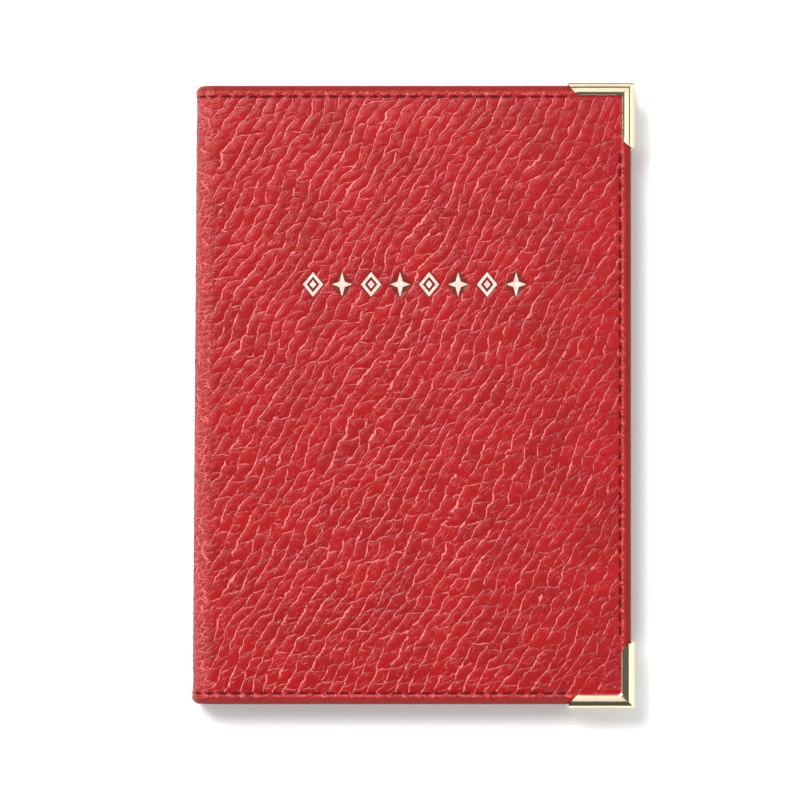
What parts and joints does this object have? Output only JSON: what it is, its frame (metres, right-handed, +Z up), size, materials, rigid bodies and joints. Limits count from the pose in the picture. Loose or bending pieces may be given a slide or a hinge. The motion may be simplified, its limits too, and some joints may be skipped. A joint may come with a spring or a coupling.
{
  "type": "passport holder wallet",
  "caption": "Pebble-grain leather passport cover that opens like a book, with slip and card pockets inside, tone-on-tone edge stitching and polished metal fore-edge corners.",
  "frame": {"origin": "centre of the closed wallet's footprint, on the surface that the back cover lies on", "axes": "+X from the spine to the fore-edge, +Y from the tail to the head along the spine, +Z up through the closed wallet from the back cover to the front cover"},
  "size_m": [0.0996, 0.1414, 0.011],
  "materials": {
    "leather": "pebble grain, semi-matt",
    "pocket_leather": "smooth fine grain, matt",
    "lining": "fine woven, matt",
    "board": "grey board",
    "thread": "waxed polyester thread",
    "gold_metal": "polished pale gold plate",
    "foil": "hot-stamped pale gold foil"
  },
  "bodies": {
    "back_cover": {"back_cover_leather": "leather", "back_board": "board", "back_lining": "lining", "back_passport_pocket": "pocket_leather", "back_head_corner": "gold_metal", "back_tail_corner": "gold_metal", "back_needle_thread_head": "thread", "back_needle_thread_fore_edge": "thread", "back_needle_thread_tail": "thread", "back_bobbin_thread_head": "thread", "back_bobbin_thread_fore_edge": "thread", "back_bobbin_thread_tail": "thread"},
    "spine": {"spine_leather": "leather", "spine_reinforcement": "board", "spine_lining": "lining", "spine_needle_thread_head": "thread", "spine_bobbin_thread_head": "thread", "spine_needle_thread_tail": "thread", "spine_bobbin_thread_tail": "thread"},
    "front_cover": {"front_cover_leather": "leather", "front_board": "board", "front_lining": "lining", "front_passport_pocket": "pocket_leather", "front_head_corner": "gold_metal", "front_tail_corner": "gold_metal", "front_needle_thread_head": "thread", "front_needle_thread_fore_edge": "thread", "front_needle_thread_tail": "thread", "front_bobbin_thread_head": "thread", "front_bobbin_thread_fore_edge": "thread", "front_bobbin_thread_tail": "thread", "front_card_pocket_rear": "pocket_leather", "front_card_pocket_front": "pocket_leather", "front_foil_mark_1": "foil", "front_foil_mark_2": "foil", "front_foil_mark_3": "foil", "front_foil_mark_4": "foil", "front_foil_mark_5": "foil", "front_foil_mark_6": "foil", "front_foil_mark_7": "foil", "front_foil_mark_8": "foil"}
  },
  "joints": [
    {"name": "spine_hinge", "type": "hinge", "parent": "back_cover", "child": "spine", "pos_m": [-0.04894, 0, 0.00086], "axis": [0, -1, 0], "range_deg": [0, 90]},
    {"name": "front_hinge", "type": "hinge", "parent": "spine", "child": "front_cover", "pos_m": [-0.04894, 0, 0.01014], "axis": [0, -1, 0], "range_deg": [0, 90]}
  ],
  "couplings": [
    {"joint": "front_hinge", "follows": "spine_hinge", "ratio": 1}
  ]
}
